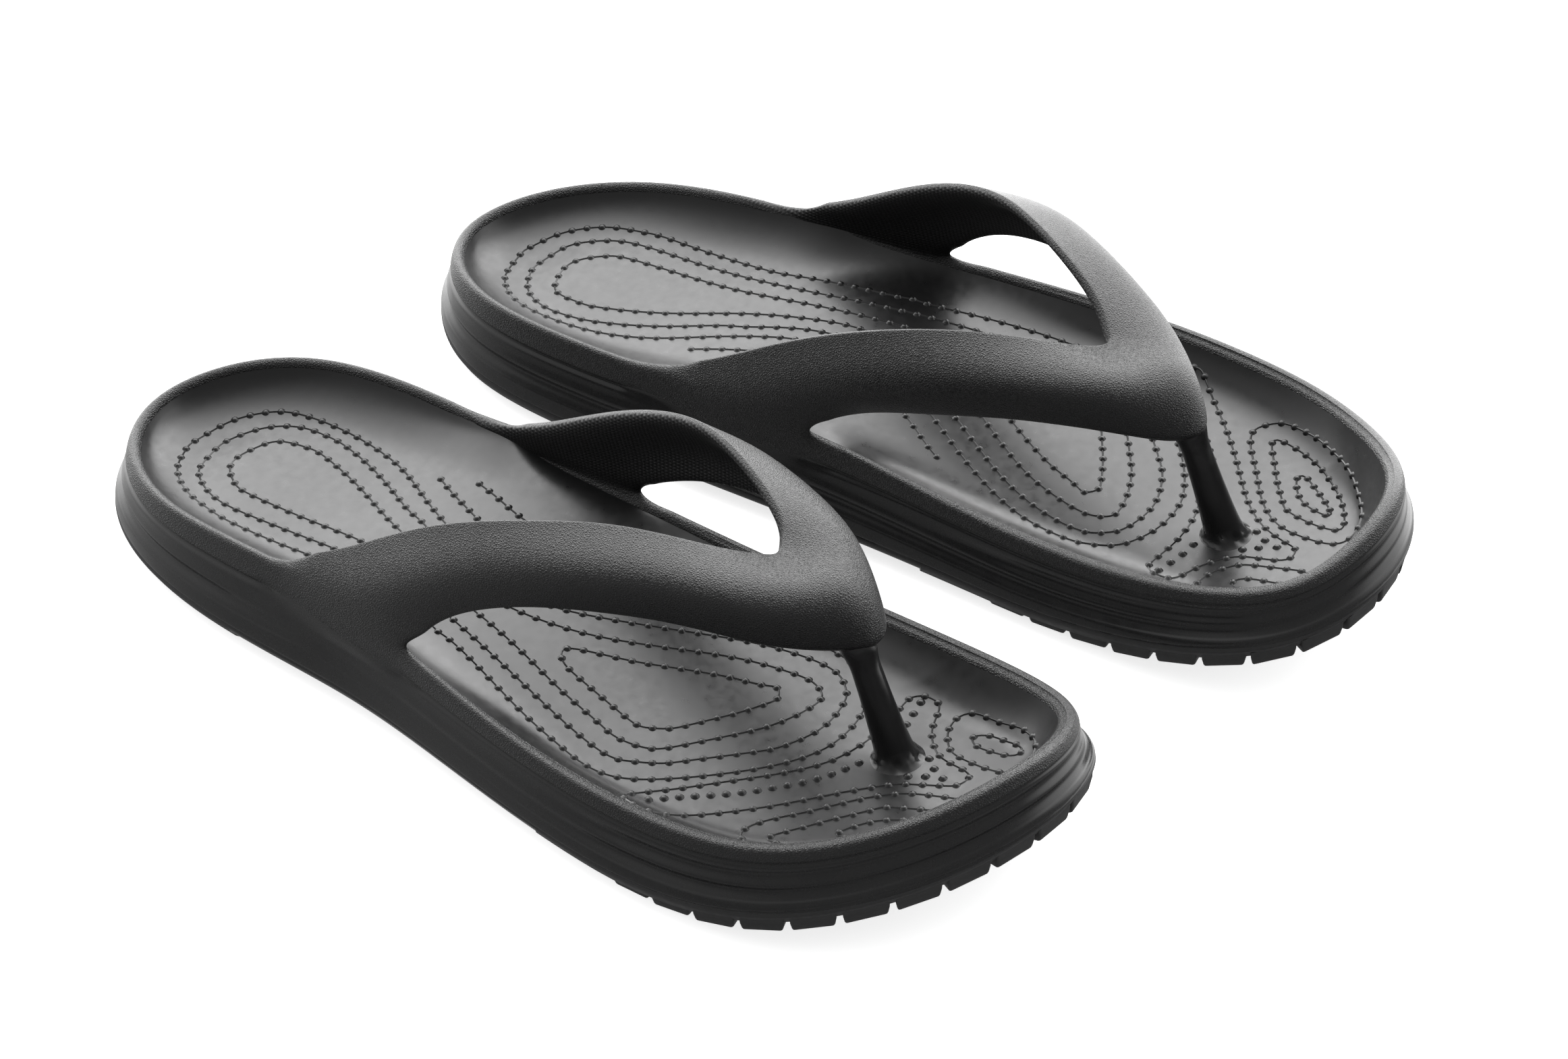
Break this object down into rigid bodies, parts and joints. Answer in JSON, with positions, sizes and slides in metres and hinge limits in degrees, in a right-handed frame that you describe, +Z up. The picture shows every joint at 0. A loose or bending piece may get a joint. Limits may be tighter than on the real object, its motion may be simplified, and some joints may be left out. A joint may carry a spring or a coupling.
{
  "type": "flip flops",
  "caption": "Pair of moulded foam thong sandals with a cupped footbed, broad leather-grained strap, toe post and lugged tread pads.",
  "frame": {"origin": "middle of the pair's bounding box, on the floor", "axes": "+Z up, toes towards -Y, left sandal on the +X side"},
  "size_m": [0.2292, 0.3042, 0.0725],
  "materials": {
    "foam": "satin closed-cell foam with a fine pebbled grain on the rim and strap",
    "footbed_foam": "smooth and glossy, with raised beaded lines",
    "tread_rubber": "matt",
    "post_plastic": "glossy, flexible"
  },
  "bodies": {
    "right_shoe": {"right_midsole": "foam", "right_footbed": "footbed_foam", "right_forefoot_tread": "tread_rubber", "right_heel_tread": "tread_rubber", "right_strap": "foam", "right_toe_post": "post_plastic", "right_post_anchor": "post_plastic"},
    "left_shoe": {"left_midsole": "foam", "left_footbed": "footbed_foam", "left_forefoot_tread": "tread_rubber", "left_heel_tread": "tread_rubber", "left_strap": "foam", "left_toe_post": "post_plastic", "left_post_anchor": "post_plastic"}
  },
  "joints": [
    {"name": "left_shoe_lift", "type": "slide", "parent": "right_shoe", "child": "left_shoe", "axis": [0, 0, 1], "range_m": [0, 0.12]}
  ]
}
